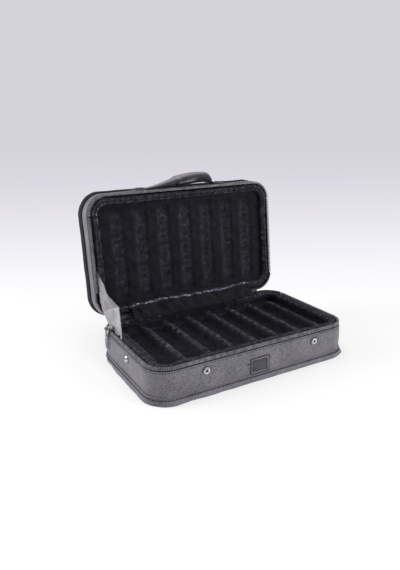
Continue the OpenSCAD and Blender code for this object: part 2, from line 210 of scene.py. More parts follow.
# %% [markdown]
# ## Cloth that settles
#
# Padded plush puckers because more cloth is sewn in than the seam is long. That is left to the cloth
# solver: the piece is blown up tenfold, which suits the solver's stiffness, its sewn points are
# pinned, the cloth between them is cut a little too large and the padding pushes from inside. After
# a few frames the points are read back, none further than a set reach from where it began, and the
# trial piece is thrown away.

# %% A short cloth simulation
def settled(name, points, faces, sewn, push, spare, reach, frames=16, blow_up=10.0):
    """Rest places of a grid of points in millimetres, pinned where `sewn`, after the solver ran with
    pressure `push` and `spare` extra cloth; each move is its direction x min(its length, reach)."""
    trial = new_mesh("trial", points * blow_up, faces)
    pins = trial.vertex_groups.new(name="sewn")
    pins.add(np.flatnonzero(np.broadcast_to(sewn, points.shape[:2])).tolist(), 1.0, "REPLACE")
    solver = trial.modifiers.new("cloth", "CLOTH")
    cut = solver.settings
    cut.vertex_group_mass, cut.shrink_min, cut.quality = "sewn", -spare, 5
    cut.use_pressure, cut.uniform_pressure_force = True, push
    cut.tension_stiffness = cut.compression_stiffness = 15
    cut.bending_stiffness, cut.effector_weights.gravity = 0.5, 0
    solver.collision_settings.use_collision = False
    solver.point_cache.frame_start, solver.point_cache.frame_end = 1, frames
    for frame_number in range(1, frames + 1):
        bpy.context.scene.frame_set(frame_number)
    rested = trial.evaluated_get(bpy.context.evaluated_depsgraph_get())
    found = np.empty(points.size, np.float32)
    rested.data.vertices.foreach_get("co", found)
    move = found.reshape(points.shape) * (1000 / blow_up) - points
    length = np.linalg.norm(move, axis=-1, keepdims=True)
    bpy.data.objects.remove(trial)
    bpy.context.scene.frame_set(1)
    print(f"{name}: cloth moved {length.mean():.2f} mm on average, {length.max():.2f} at most")
    return points + move * np.minimum(1, reach / np.maximum(length, 1e-6))


def refine(obj):
    """One level of subdivision, which rounds the settled grid."""
    smooth = obj.modifiers.new("round", "SUBSURF")
    smooth.levels = smooth.render_levels = 1
    return obj


def swept(name, s, out, up, body, material, stands_for, settle=None):
    """A closed profile, one per station, carried right round the shell named by `body`."""
    points = round_the_case(s[:, None], out, up)
    faces, place = grid_faces(*out.shape, closed_rows=True, closed_cols=True)
    if settle:
        points = settled(name, points, faces, **settle)
    lid = body == "lid"
    obj = new_mesh(name, on_lid(points) if lid else points, faces, flip=lid)
    step = np.linalg.norm(np.diff(points[0], axis=0, append=points[0][:1]), axis=1)
    u = np.append(s, ROUND)
    v = np.concatenate([[0], np.cumsum(step)])
    write_map(obj, np.stack([u[place[..., 0]], v[place[..., 1]]], -1), flip=lid)
    print(f"{name}: {len(obj.data.polygons)} faces")
    return finish_piece(obj, body, material, stands_for)


# %% [markdown]
# ## Shader maths as expressions
#
# A socket wrapped in a small class takes part in sums, products and quotients, and each operation
# puts a Math node into the tree. One method makes any other node. Noise and bump come up in every
# finish, so they have a short method each.

# %% A socket that can be used in formulas
class Wire:
    """An output socket that takes part in arithmetic."""

    def __init__(self, bench, socket):
        self.bench, self.socket = bench, socket

    def _math(self, operation, *values):
        return self.bench.node("ShaderNodeMath", {"operation": operation}, dict(enumerate(values)))

    def __add__(self, other):
        return self._math("ADD", self, other)

    def __mul__(self, other):
        return self._math("MULTIPLY", self, other)

    def __sub__(self, other):
        return self._math("SUBTRACT", self, other)

    def __rtruediv__(self, other):
        return self._math("DIVIDE", other, self)


class Bench:
    """The node tree of a new material, or of `owner`, with one method that adds any node."""

    def __init__(self, name, owner=None):
        self.owner = owner or bpy.data.materials.new(name)
        self.owner.use_nodes = True
        self.tree = self.owner.node_tree
        self.tree.nodes.clear()
        self.place = self.node("ShaderNodeTexCoord", output=3)

    def node(self, kind, settings=(), inputs=(), output=0):
        made = self.tree.nodes.new(kind)
        for key, value in dict(settings).items():
            if key == "stops":
                self._stops(made.color_ramp, value)
            else:
                setattr(made, key, value)
        for key, value in dict(inputs).items():
            if isinstance(value, Wire):
                self.tree.links.new(value.socket, made.inputs[key])
            else:
                made.inputs[key].default_value = value
        return Wire(self, made.outputs[output]) if made.outputs else None

    @staticmethod
    def _stops(ramp, stops):
        while len(ramp.elements) < len(stops):
            ramp.elements.new(0.5)
        for element, (position, colour) in zip(ramp.elements, stops):
            element.position, element.color = position, (*colour, 1)

    def ramp(self, value, stops):
        return self.node("ShaderNodeValToRGB", {"stops": stops}, {"Fac": value})

    def noise(self, scale, detail=2.0, place=None):
        """Random patches about 1 / scale metres across, with `detail` finer layers in them."""
        inputs = {"Vector": place or self.place, "Scale": scale, "Detail": detail}
        return self.node("ShaderNodeTexNoise", {}, inputs)

    def bump(self, strength, distance, height):
        inputs = {"Strength": strength, "Distance": distance, "Height": height}
        return self.node("ShaderNodeBump", {}, inputs)

    def mix(self, factor, a, b):
        """A colour between a at 0 and b at 1."""
        a, b = (c if isinstance(c, Wire) else (*c, 1) for c in (a, b))
        return self.node(
            "ShaderNodeMix", {"data_type": "RGBA"}, {0: factor, 6: a, 7: b}, output=2
        )

    def surface(self, **sockets):
        """Ends the tree in one Principled shader and returns the finished material."""
        inputs = {key.replace("_", " "): value for key, value in sockets.items()}
        for key, value in inputs.items():
            if isinstance(value, tuple) and len(value) == 3:
                inputs[key] = (*value, 1)
        shader = self.node("ShaderNodeBsdfPrincipled", {}, inputs)
        self.node("ShaderNodeOutputMaterial", {}, {"Surface": shader})
        return self.owner


# %% [markdown]
# ## Leather cloth
#
# The outside is a thin coated cloth with a fine pebble grain. Small cells give the pebbles, a
# slower noise gives the slightly uneven gloss of a coating, and both go into one bump. The cloth
# is black, but its satin coating scatters a soft light and reads as a dark violet grey.

# %% Leather cloth, its binding and the sewing thread
def leather_cloth(name, dark, light, rough=(0.4, 0.62), painted_light_tone=None, gloss=0.5):
    """Grain and slow patches blended into one tone; the optional extra tone is painted light, mixed
    in where a point value is high: a painted highlight on some pieces, painted shade on others.
    """
    b = Bench(name)
    slant = b.node("ShaderNodeMapping", {"vector_type": "TEXTURE"}, {
        "Vector": b.place, "Rotation": (0.0, math.radians(48), 0.0),
        "Scale": (0.0017, 0.0006, 0.0005),
    })
    grain = b.noise(1.0, place=slant)
    pebbles = b.node(
        "ShaderNodeTexVoronoi", {"feature": "SMOOTH_F1"}, {"Vector": b.place, "Scale": 1150.0}
    )
    tone = grain * 0.8 + b.noise(40.0, 4.0) * 0.2
    colour = b.ramp(tone, [(0.36, dark), (0.64, light)])
    # Painted light: a painted highlight on the handle and patch, painted shade on the hinge strip.
    if painted_light_tone:
        worn = b.node("ShaderNodeAttribute", {"attribute_name": "worn"}, output=2)
        colour = b.mix(worn, colour, b.ramp(tone, [(0.3, dark), (0.6, painted_light_tone)]))
    return b.surface(
        Base_Color=colour, Roughness=pebbles * (rough[1] - rough[0]) + rough[0],
        Normal=b.bump(0.7, 0.0004, grain + pebbles * 0.4), Specular_IOR_Level=gloss,
        Sheen_Weight=0.2 * gloss, Sheen_Roughness=0.5,
    )


CLOTH = (0.03, 0.027, 0.034), (0.22, 0.204, 0.24)
cloth_finish = leather_cloth("leather_cloth", *CLOTH)
# The handle cloth's extra tone is a painted highlight, laid on the handle's top.
handle_finish = leather_cloth(
    "handle_cloth", (0.006, 0.006, 0.007), (0.026, 0.024, 0.029), painted_light_tone=(0.3, 0.28, 0.315),
    gloss=0.3,
)
binding_finish = leather_cloth(
    "binding_cloth", (0.004, 0.004, 0.005), (0.018, 0.017, 0.02), rough=(0.6, 0.8), gloss=0.18
)
# The patch cloth's extra tone is a painted highlight on the raised hem and on one spot.
patch_finish = leather_cloth(
    "patch_cloth", (0.012, 0.011, 0.014), (0.1, 0.094, 0.112), painted_light_tone=(0.34, 0.32, 0.36), gloss=0.3
)
# The hinge strip's extra tone is painted shade, near black, on its face inside the hinge gap.
hinge_finish = leather_cloth("hinge_cloth", *CLOTH, painted_light_tone=(0.003, 0.0028, 0.0035))
thread_finish = leather_cloth(
    "sewing_thread", (0.002, 0.002, 0.0025), (0.01, 0.0095, 0.011), rough=(0.7, 0.9), gloss=0.1
)
print("leather cloth, binding and thread ready")

# %% [markdown]
# ## Plush
#
# Plush is a short cut pile. It swallows light that falls into it and shines where the pile bends
# away, along edges and pressed places. A fine noise stands for the tufts, a slower one for the way
# the pile lies, and each plush piece brings a value per point that is high where the pile is spread
# over an edge. There the shine is painted in: a paler painted highlight, with painted glints.

# %% Plush
def plush(name, deep, pile, painted_sheen_colour, glint):
    """Tufts shade from `deep` to `pile`; the point value gives them a painted highlight and glint.
    """
    b = Bench(name)
    crest = b.node("ShaderNodeAttribute", {"attribute_name": "crest"}, output=2)
    tufts, lay, specks = b.noise(620.0, 4.0), b.noise(120.0, 3.0), b.noise(460.0)
    tone = b.ramp(tufts * 0.6 + lay * 0.4, [(0.4, deep), (0.66, pile)])
    painted_sheen_tone = b.ramp(tufts * 0.7 + lay * 0.3, [(0.38, deep), (0.64, painted_sheen_colour)])
    # Painted highlight and painted glint specks, where the point value is high.
    worn = b.node("ShaderNodeClamp", {}, {"Value": crest * 1.3})
    spark = b.node("ShaderNodeClamp", {}, {"Value": (specks + crest * 0.4 - 0.98) * 12.0})
    return b.surface(
        Base_Color=b.mix(spark, b.mix(worn, tone, painted_sheen_tone), glint), Roughness=0.85,
        Normal=b.bump(0.9, 0.0012, tufts * 0.7 + lay * 0.6), Specular_IOR_Level=0.2,
        Sheen_Weight=0.12, Sheen_Roughness=0.4, Sheen_Tint=(0.5, 0.48, 0.62),
    )


# The last two colours are the painted highlight and the painted glint.
plush_finish = plush(
    "plush", (0.002, 0.0018, 0.003), (0.014, 0.0125, 0.02), (0.13, 0.12, 0.165), (0.6, 0.57, 0.66)
)
print("plush ready")

# %% [markdown]
# ## Zipper, lining and metal
#
# The tape is woven, the teeth are moulded nylon with a satin surface, the gusset is a grey satin
# whose threads all run one way, and the small metal parts are bright nickel.

# %% Tape, teeth, satin, nickel and board
def woven_tape(name, dark, light):
    """Fine ribs across the tape, blurred by fuzz."""
    b = Bench(name)
    rib = b.node(
        "ShaderNodeTexWave", {"bands_direction": "Z"},
        {"Vector": b.place, "Scale": 320.0, "Distortion": 0.6},
    )
    height = rib * 0.6 + b.noise(1400.0) * 0.5
    colour = b.ramp(height, [(0.2, dark), (0.9, light)])
    return b.surface(Base_Color=colour, Roughness=0.8, Normal=b.bump(0.5, 0.0002, height))


def moulded_nylon(name, dark, light):
    """Plastic that is paler and duller where it is worn."""
    b = Bench(name)
    wear = b.noise(260.0, 3.0)
    colour = b.ramp(wear, [(0.35, dark), (0.7, light)])
    return b.surface(Base_Color=colour, Roughness=wear * 0.3 + 0.25)


def satin(name, shade, shine):
    """Threads are a noise drawn out along one direction, over slow clouds."""
    b = Bench(name)
    long = b.node("ShaderNodeMapping", {}, {"Vector": b.place, "Scale": (2600.0, 500.0, 500.0)})
    threads = b.noise(1.0, place=long)
    tone = b.ramp(threads * 0.5 + b.noise(70.0) * 0.5, [(0.3, shade), (0.7, shine)])
    return b.surface(
        Base_Color=tone, Roughness=0.38, Normal=b.bump(0.25, 0.0002, threads), Sheen_Weight=0.3,
        Specular_IOR_Level=0.6,
    )


def plated(name, dull, bright):
    """Metal whose haze makes it both darker or lighter and rougher."""
    b = Bench(name)
    haze = b.noise(420.0, 5.0)
    colour = b.ramp(haze, [(0.35, dull), (0.65, bright)])
    return b.surface(Base_Color=colour, Metallic=1.0, Roughness=haze * 0.22 + 0.1)


def fibre_board(name, dark, light):
    """Pressed pulp, matt."""
    b = Bench(name)
    pulp = b.noise(700.0, 6.0)
    colour = b.ramp(pulp, [(0.3, dark), (0.7, light)])
    return b.surface(Base_Color=colour, Roughness=0.9, Normal=b.bump(0.3, 0.0002, pulp))


tape_finish = woven_tape("zipper_tape", (0.004, 0.004, 0.005), (0.018, 0.0175, 0.02))
teeth_finish = moulded_nylon("zipper_teeth", (0.08, 0.076, 0.086), (0.24, 0.23, 0.26))
satin_finish = satin("satin", (0.12, 0.113, 0.125), (0.3, 0.285, 0.31))
nickel_finish = plated("nickel", (0.3, 0.29, 0.29), (0.66, 0.66, 0.68))
# Painted shadow: the washers are near black and stand for the dark shade beside each rivet head.
shadow_finish = plated("washer_painted_shadow", (0.02, 0.02, 0.02), (0.06, 0.06, 0.06))
board_finish = fibre_board("board", (0.004, 0.0038, 0.0036), (0.014, 0.0132, 0.0125))
print("tape, teeth, satin, nickel and board ready")

# %% [markdown]
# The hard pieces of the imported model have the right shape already, so they only get a finish.

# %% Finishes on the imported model's own pieces
KEPT = [
    (cloth_finish, ["base_bottom_cover"]),
    (board_finish, ["base_bottom_board", "base_wall_board", "lid_top_board", "lid_wall_board"]),
    (tape_finish, ["base_zipper_tape", "lid_zipper_tape"]),
    (teeth_finish, ["base_zipper_teeth", "lid_zipper_teeth"]),
    (nickel_finish, ["base_zipper_stops", "lid_zipper_stop", "band_rivets"]),
    (nickel_finish, ["zipper_slider", "zipper_pull"]),
    # The washers carry painted shadow round the rivet heads.
    (shadow_finish, ["rivet_washers"]),
]
for finish, node_names in KEPT:
    for node_name in node_names:
        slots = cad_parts[node_name].data.materials
        slots.clear()
        slots.append(finish)
    print("finished:", ", ".join(node_names))

# %% [markdown]
# ## The cloth bands
#
# The band is one strip of cloth round the board wall. Thin foam behind it makes it swell a little
# between its two seams, it is drawn in along the stitching near its top, and its top edge is folded
# over. At the back it runs up to the hinge. Round each rivet the cloth is pressed down, and behind
# the rivet's hole it is punched through, which is drawn here as a deep narrow pocket.

# %% Band round a shell
STATIONS = np.arange(0, ROUND, ROUND / 750)
BAND_FOOT, FOLD_R, SEAM_BELOW = 1.3, 0.6, 1.5
RIVETS_FRONT, RIVET_SIDE_Y, RIVET_Z = (-66, 74), -7, 28
FRONT_START, LEFT_START, RIGHT_START = MARKS[4], MARKS[2], MARKS[6]
RIVET_STATIONS = [FRONT_START + HALF_X + x for x in RIVETS_FRONT]
RIVET_STATIONS += [LEFT_START + HALF_Y - RIVET_SIDE_Y, RIGHT_START + HALF_Y + RIVET_SIDE_Y]


def at_the_back(s):
    """1 along the back and round to where the zipper ends, 0 along the zipper."""
    return ease(outline(s)[0][..., 1], HALF_Y + 2.5, HALF_Y + 4.5)


def band_swell(s, up, h, seed):
    """How far the band stands out: a foam swell between the seams, less a groove at the stitches."""
    mid = (BINDING_H + h - STRIP_H) / 2
    half = (h - STRIP_H - BINDING_H) / 2
    swell = 0.55 * np.clip(1 - ((up - mid) / half) ** 2, 0, 1)
    groove = 0.35 * np.exp(-(((up - (h - STRIP_H - SEAM_BELOW)) / 0.7) ** 2))
    points = round_the_case(s, 0 * up, up)
    return swell - groove + 0.16 * ripples(points, 34, seed) + 0.07 * ripples(points, 11, seed + 1)


def cloth_band(body, h, seed, rivets=()):
    """The band's face, its folded top edge and its back, on the shell `h` mm high. The cloth sinks
    round each rivet's station and is punched through in its middle."""
    s = STATIONS[:, None]
    top = h - STRIP_H + (STRIP_H - 0.2) * at_the_back(s)
    up = BAND_FOOT + (top - FOLD_R - BAND_FOOT) * np.linspace(0, 1, 34)[None, :]
    out = band_swell(s, up, h, seed)
    for station in rivets:
        r = np.hypot(s - station, up - RIVET_Z)
        out = out * ease(r, 4, 9) - 0.85 * (1 - ease(r, 4.7, 6.2))
        out = out - 3.0 * (1 - ease(r, 1.7, 2.9))
    fold = np.radians(np.linspace(20, 160, 7))[None, :]
    edge_out = out[:, -1:] - FOLD_R + FOLD_R * np.cos(fold)
    edge_up = top - FOLD_R + FOLD_R * np.sin(fold)
    back_out = np.concatenate([out[:, -1:], out[:, 17:18], out[:, :1]], 1) - 1.2
    back_up = np.concatenate([top - 0.8, (top + BAND_FOOT) / 2, BAND_FOOT + 0 * top], 1)
    out = np.concatenate([out, edge_out, back_out], 1)
    up = np.concatenate([up, edge_up, back_up], 1)
    return swept(f"{body}_band", STATIONS, out, up, body, cloth_finish,
                 [f"{body}_side_cover"])


cloth_band("base", BASE_H, 3, RIVET_STATIONS)
cloth_band("lid", LID_H, 5)

# %% [markdown]
# ## The skirt and its piping
#
# A folded strip of cloth binds the outer edge of each shell. It hangs free at its lower edge, so it
# flares and waves a little and lifts off the table here and there; at the right front corner it
# sticks out. Above it runs a thin rolled edge, which shows as a light line over a dark one.

# %% Skirt binding and piping
SKIRT = [
    (0.1, 0.0), (1.2, 0.0), (2.1, 0.0), (2.5, 0.25), (2.5, 0.8), (2.25, 1.6), (1.95, 2.9),
    (1.65, 4.3), (1.4, 5.6), (1.25, 6.8), (1.1, 7.6), (0.7, 8.0), (0.1, 8.0), (0.0, 4.0),
]

PIPE_R = 0.8


def along(profile, count, closed=True):
    """Evenly spaced points on a closed profile, rounded by averaging neighbours twice."""
    p = np.array(profile, float)
    q = np.concatenate([p, p[:1]]) if closed else p
    d = np.concatenate([[0], np.cumsum(np.linalg.norm(np.diff(q, axis=0), axis=1))])
    t = np.linspace(0, d[-1], count, endpoint=not closed)
    r = np.stack([np.interp(t, d, q[:, 0]), np.interp(t, d, q[:, 1])], -1)
    return r * 0.5 + np.roll(r, 1, 0) * 0.25 + np.roll(r, -1, 0) * 0.25 if closed else r


def bump_at(s, place, width):
    """A smooth bump of height 1 round station `place`."""
    return np.exp(-(((s - place) / width) ** 2))


def skirt(body, seed, wave, material, flares=()):
    """The folded strip, whose free edge moves out by puckers and by each flare's bump."""
    s, p = STATIONS[:, None], along(SKIRT, 40)
    out, up = np.repeat(p[None, :, 0], len(s), 0), np.repeat(p[None, :, 1], len(s), 0)
    loose = np.clip(1 - up / BINDING_H, 0, 1)
    flare = wave * puckers(s, 46, seed) + 0.35 * wave * puckers(s, 14, seed + 1)
    for station, width, reach in flares:
        flare = flare + reach * bump_at(s, station, width)
    out = out + loose * flare * (out > 0.4)
    up = up + 1.2 * wave * loose * np.clip(puckers(s, 60, seed + 2), 0, 1)
    return swept(f"{body}_skirt", STATIONS, out, up, body, material, [f"{body}_binding"])


def piping(body, seed, material):
    """A roll 1.6 mm thick; along the base's front it lies deeper under the band's swell."""
    s = STATIONS[:, None]
    a = np.linspace(0, 2 * math.pi, 12, endpoint=False)[None, :]
    front = ease(s, MARKS[3] + 6, MARKS[3] + 22) * (1 - ease(s, MARKS[5] + 8, MARKS[5] + 26))
    out = PIPE_R - 0.75 * front * (body == "base") + PIPE_R * np.cos(a)
    up = 8.75 + 0.12 * puckers(s, 30, seed) + PIPE_R * np.sin(a)
    return swept(f"{body}_rolled_edge", STATIONS, out, up, body, material,
                 [f"{body}_piping"])


skirt("base", 11, 0.28, cloth_finish,
      [(RIGHT_START - 13, 8, 3.0), (LEFT_START + 2, 22, -1.5), (LEFT_START + HALF_Y, 16, 0.5)])
skirt("lid", 17, 0.16, binding_finish)
piping("base", 21, cloth_finish)
piping("lid", 23, binding_finish)

# %% [markdown]
# ## Stitches
#
# A machine stitch is a short bow of thread: it comes up through the cloth, crosses over and goes
# down again. One bow has a few dozen faces. All of them are made at once, each in its own frame of
# three directions: along the seam, out of the cloth and across.

# %% Rows of stitches
def thread_bows(name, centre, along_dir, out_dir, length, radius, body, slant=0.0):
    """One bow of thread at each centre. Its height over the cloth is a parabola along it, and
    `slant` turns it out of the seam's direction."""
    rng = np.random.default_rng(len(centre))
    across, sink = np.cross(out_dir, along_dir), 0.35
    along_dir = along_dir * math.cos(slant) + across * math.sin(slant)
    across = np.cross(out_dir, along_dir)
    t = np.linspace(-1, 1, 6)
    a = np.linspace(0, 2 * math.pi, 6, endpoint=False)
    thick = radius * np.sqrt(np.clip(1.12 - t**2, 0, 1))
    x = t[:, None] * length / 2 + 0 * a
    y = (sink * (0.7 - t**2))[:, None] + thick[:, None] * np.sin(a)
    z = thick[:, None] * np.cos(a)
    lean = rng.normal(0, 0.05, (len(centre), 1, 1))
    size = 1 + rng.normal(0, 0.05, (len(centre), 1, 1))
    x, z = x * size, z + x * lean
    points = centre[:, None, None] + x[..., None] * along_dir[:, None, None]
    points = points + (y + 0 * x)[..., None] * out_dir[:, None, None]
    points = points + z[..., None] * across[:, None, None]
    one, _ = grid_faces(6, 6, closed_cols=True)
    ends = np.array([[3, 2, 1, 0], [5, 4, 3, 0], [30, 31, 32, 33], [30, 33, 34, 35]])
    one = np.concatenate([one, ends])
    faces = (one[None] + 36 * np.arange(len(centre))[:, None, None]).reshape(-1, 4)
    lid = body == "lid"
    obj = new_mesh(name, on_lid(points) if lid else points, faces, flip=not lid)
    print(f"{name}: {len(centre)} stitches")
    return finish_piece(obj, body, thread_finish)


def seam_round(name, up, out, ends, pitch, body, slant=0.0, thick=0.32, share=0.72):
    """A row of stitches at one height, between two stations; `share` of the pitch is thread."""
    s = np.arange(ends[0] + pitch / 2, ends[1], pitch)
    centre = round_the_case(s, out(s) if callable(out) else out + 0 * s, up + 0 * s)
    step = round_the_case(s + 0.5, 0 * s, 0 * s) - round_the_case(s - 0.5, 0 * s, 0 * s)
    away = np.concatenate([outline(s)[1], np.zeros((len(s), 1))], 1)
    step /= np.linalg.norm(step, axis=1, keepdims=True)
    return thread_bows(name, centre, step, away, pitch * share, thick, body, slant)


ZIPPED = MARKS[2] - 3, MARKS[7] + 3
for body, h, seed in (("base", BASE_H, 3), ("lid", LID_H, 5)):
    seam = h - STRIP_H - SEAM_BELOW
    seam_round(f"{body}_top_stitches", seam, lambda s: band_swell(s, seam + 0 * s, h, seed),
               ZIPPED, 3.1, body)
seam_round("base_skirt_stitches", 6.4, 1.45, (0, ROUND), 2.6, "base", 0.75, 0.52, 0.9)
seam_round("lid_skirt_stitches", 5.6, 1.4, (0, ROUND), 3.0, "lid")

# %% [markdown]
# ## The outer panel of the lid
#
# Seen from behind and from above, the lid is one flat panel of cloth over board, bound all round.
# The cloth swells slightly over its board and is drawn in under the binding. The panel is the
# outline shrunk towards the middle, ring by ring.

# %% Lid panel
k = np.linspace(1, 0.012, 44)[None, :]
flat = outline(STATIONS[::2, None])[0] * k[..., None]
face = np.concatenate([flat, np.zeros(flat.shape[:2] + (1,))], -1)
face[..., 2] = -(0.45 * (1 - k**6) + 0.2 * ripples(face, 60, 31) * (1 - k**4))
inner = face[:, ::-1].copy()
inner[..., 2] = 1.1
panel = np.concatenate([face, inner], 1)
faces, _ = grid_faces(*panel.shape[:2], closed_rows=True)
finish_piece(new_mesh("lid_panel", on_lid(panel), faces, flip=True), "lid",
             cloth_finish, ["lid_top_cover"])

# %% [markdown]
# ## Padded rims
#
# The plush rim is a soft roll sewn down along both of its edges, so it puckers across its length.
# Its section is a rounded box: the distance from its middle follows a superellipse, and the puckers
# push the crown in and out but leave the sewn edges still. Its inner edge catches the light, so a
# painted highlight is highest there, with less on the crown and more on the lid's front left corner.

# %% Plush rims
def plush_rim(body, h, seed):
    """A superellipse section carried round, with a few slow puckers for the solver to start from.
    Its painted highlight is a bump on the inner edge and one on the crown, times the tufts' own
    puckers."""
    s = STATIONS[::2, None]
    a = np.linspace(-math.pi / 2, 3 * math.pi / 2, 28, endpoint=False)[None, :]
    c, d = np.cos(a), np.sin(a)
    out = 4.0 * np.sign(c) * np.abs(c) ** 0.72 + 0 * s
    up = np.where(d > 0, 4.1 * np.abs(d) ** 0.9, -4.1 * np.abs(d) ** 0.35) + 0 * s
    free = np.clip((up + 2.5) / 6, 0, 1)
    gather = 0.3 * puckers(s + 1.5 * c, 12, seed) + 0.2 * puckers(s - 2 * c, 26, seed + 1)
    gather = gather + 0.25 * ripples(round_the_case(s, out, up), 7, seed + 2)
    out = out * (1 + 0.08 * free * gather) - (PAD_OUT + PAD_IN) / 2
    up = up + free * gather * 0.6 + h - 0.3 - PAD_H + 4.1
    obj = swept(
        f"{body}_plush_rim", STATIONS[::2], out, up, body, plush_finish,
        [f"{body}_rim_pad"], dict(sewn=d < -0.2, push=2.0, spare=0.06, reach=1.3),
    )
    # Painted highlight: inner edge and crown, with extra on the lid's front left corner.
    edge, crown = bump_at(c, -0.7, 0.2) * (d > -0.1), bump_at(c, 0.25, 0.4) * (d > 0)
    tufted = 0.6 + 0.35 * puckers(s, 9, seed + 3)
    lit = 0.75 * (body == "lid") * bump_at(s, MARKS[3] + QUARTER / 2 - 12, 34)
    write_value(obj, "crest", np.clip(edge * (0.85 + lit) + 0.45 * crown, 0, 2) * tufted)
    return refine(obj)


plush_rim("base", BASE_H, 41)
plush_rim("lid", LID_H, 47)

# %% [markdown]
# ## Tray and lid lining
#
# Both are foam blocks with plush laid over them, so each is one height over a flat grid of points.
# In the tray the slots are deep troughs with soft walls and half-round dividers between them. In
# the lid the channels are shallow, and long pressing has left a ladder of small dents in each.

# %% Tray as a height over a grid
PITCH = 30.0
SLOTS, RIDGES = (np.arange(7) - 3) * PITCH, (np.arange(8) - 3.5) * PITCH
SLOT_W, SLOT_L, SLOT_FLOOR, RIDGE_Z, RIDGE_R = 21.0, 110.0, 21.5, 27.0, 4.7
UNDERSIDE, CHANNEL_W, CHANNEL_D = 3.4, 20, 3


def nearest(x, places):
    """How far each x is from the nearest of the places."""
    return np.abs(x[..., None] - places).min(-1)


def field_grid(inset, step):
    """A grid of points over the rounded rectangle `inset` mm inside the outline, with its own
    corners rounded by pulling each row's ends in along the corner arc."""
    hx, hy, r = CASE_W / 2 - inset, CASE_D / 2 - inset, CORNER - inset
    y = np.linspace(-hy, hy, round(2 * hy / step))
    over = np.clip(np.abs(y) - (hy - r), 0, r)
    reach = hx - r + np.sqrt(r * r - over**2)
    t = np.linspace(-1, 1, round(2 * hx / step))
    return t[None, :] * reach[:, None], np.repeat(y[:, None], t.size, 1)


def block(name, x, y, top, body, stands_for, crest):
    """A closed block: the height field on top, a flat underside, and walls between them."""
    upper, lower = (np.stack([x, y, z + 0 * x], -1).reshape(-1, 3) for z in (top, UNDERSIDE))
    faces, _ = grid_faces(*x.shape)
    faces = np.concatenate([faces[:, ::-1], faces + x.size, edge_walls(*x.shape)])
    points, lid = np.concatenate([upper, lower]), body == "lid"
    obj = new_mesh(name, on_lid(points) if lid else points, faces, flip=lid)
    write_value(obj, "crest", np.concatenate([crest.ravel(), np.zeros(x.size)]))
    finish_piece(obj, body, plush_finish, stands_for)
    print(f"{name}: {len(faces)} faces")
    return obj


def tray_height(x, y):
    """Slot floor in the troughs, half-round dividers between them, a flat ledge all round."""
    in_slot = (1 - ease(nearest(x, SLOTS), SLOT_W / 2 - 1.2, SLOT_W / 2 + 0.2)) * (
        1 - ease(np.abs(y), SLOT_L / 2 - 1.2, SLOT_L / 2 + 0.3))
    dome = np.sqrt(np.clip(RIDGE_R**2 - nearest(x, RIDGES) ** 2, 0, None))
    dome = dome * (1 - ease(np.abs(y), 53, 59))
    from_side = np.minimum(CASE_W / 2 - np.abs(x), CASE_D / 2 - np.abs(y))
    ledge = RIDGE_Z + dome + 6.5 * (1 - ease(from_side, PAD_IN - 2.2, PAD_IN + 0.6))
    return ledge * (1 - in_slot) + SLOT_FLOOR * in_slot, in_slot


def ladder_dents(x, y):
    """1 inside each small pressed window of the ladders, 0 on the rungs between."""
    rung = np.abs(np.mod(y + 3.75, 7.5) - 3.75)
    window = (1 - ease(rung, 1.9, 2.9)) * (1 - ease(nearest(x, SLOTS), 3.0, 4.2))
    return window * (1 - ease(np.abs(y + 2), 36, 40))


x, y = field_grid(PAD_OUT + 0.1, 1.0)
height, in_slot = tray_height(x, y)
points = np.stack([x, y, height], -1)
soft = 0.3 * ripples(points, 14, 51) + 0.22 * ripples(points, 5, 52)
# Painted highlight along the tops of the dividers between the slots.
ridge_highlight = bump_at(nearest(x, RIDGES), 1.5, 1.8) * (1 - in_slot)
block("tray_plush", x, y, height + soft, "base", ["tray_floor", "tray_frame", "slot_dividers"],
      ridge_highlight * (0.35 + 0.25 * ripples(points, 7, 53)))

# %% [markdown]
# A channel of the lining is an arc of a circle. Its radius follows from its width w and depth d:
# (w / 2)^2 + d^2, divided by 2 d.

# %% Lid lining
from_slot, dents = nearest(x, SLOTS), ladder_dents(x, y)
channel_r = ((CHANNEL_W / 2) ** 2 + CHANNEL_D**2) / (2 * CHANNEL_D)
arc = np.sqrt(np.clip(channel_r**2 - from_slot**2, 0, None))
depth = np.clip(arc - (channel_r - CHANNEL_D), 0, None) * (1 - ease(np.abs(y), 52, 57))
points = np.stack([x, y, depth], -1)
lining = LID_H - 7 - depth - 0.35 * dents
lining = lining + 0.28 * ripples(points, 16, 61) + 0.16 * ripples(points, 5, 62)
# Pressed pile in the channel middles gets a painted sheen, with less of it in the ladder dents.
pressed_pile_sheen = (1 - ease(from_slot, 4.5, 9)) * (1 - ease(np.abs(y), 44, 54))
crest = 0.26 * pressed_pile_sheen * (1 - 0.6 * dents) * (0.7 + 0.3 * ripples(points, 9, 63))
block("lid_lining_plush", x, y, lining, "lid", ["lid_lining"], crest)

# %% [markdown]
# ## Cloth across the hinge
#
# Three pieces join base and lid: a strip outside over the back seam, a plush flap inside that hides
# the hinge, and a satin gusset on the left that stops the lid. Each is a thin sheet drawn between
# two edges, one on each shell, and it bends with the lid.

# %% A thin sheet between two faces
LINE = 36


def thin_sheet(name, middle, thick, material, stands_for):
    """A grid of middle points given a thickness along its own normals, closed at its edges."""
    cross = np.cross(np.gradient(middle, axis=0), np.gradient(middle, axis=1))
    area = np.linalg.norm(cross, axis=-1, keepdims=True)
    normal = cross / (area + 1e-9)
    points = np.concatenate([middle + normal * thick / 2, middle - normal * thick / 2])
    faces, _ = grid_faces(*middle.shape[:2])
    other = faces[:, ::-1] + area.size
    faces = np.concatenate([faces, other, edge_walls(*middle.shape[:2])])
    print(f"{name}: {area[:-1, :-1].sum() * 0.01:.0f} square centimetres of cloth")
    return finish_piece(new_mesh(name, points, faces, flip=True), None, material, stands_for)


def shut_yz(y, z):
    """Where a point of the shut lid's section stands once the lid is open."""
    return swing_open(np.array([[0.0, y, z]]))[0, 1:]


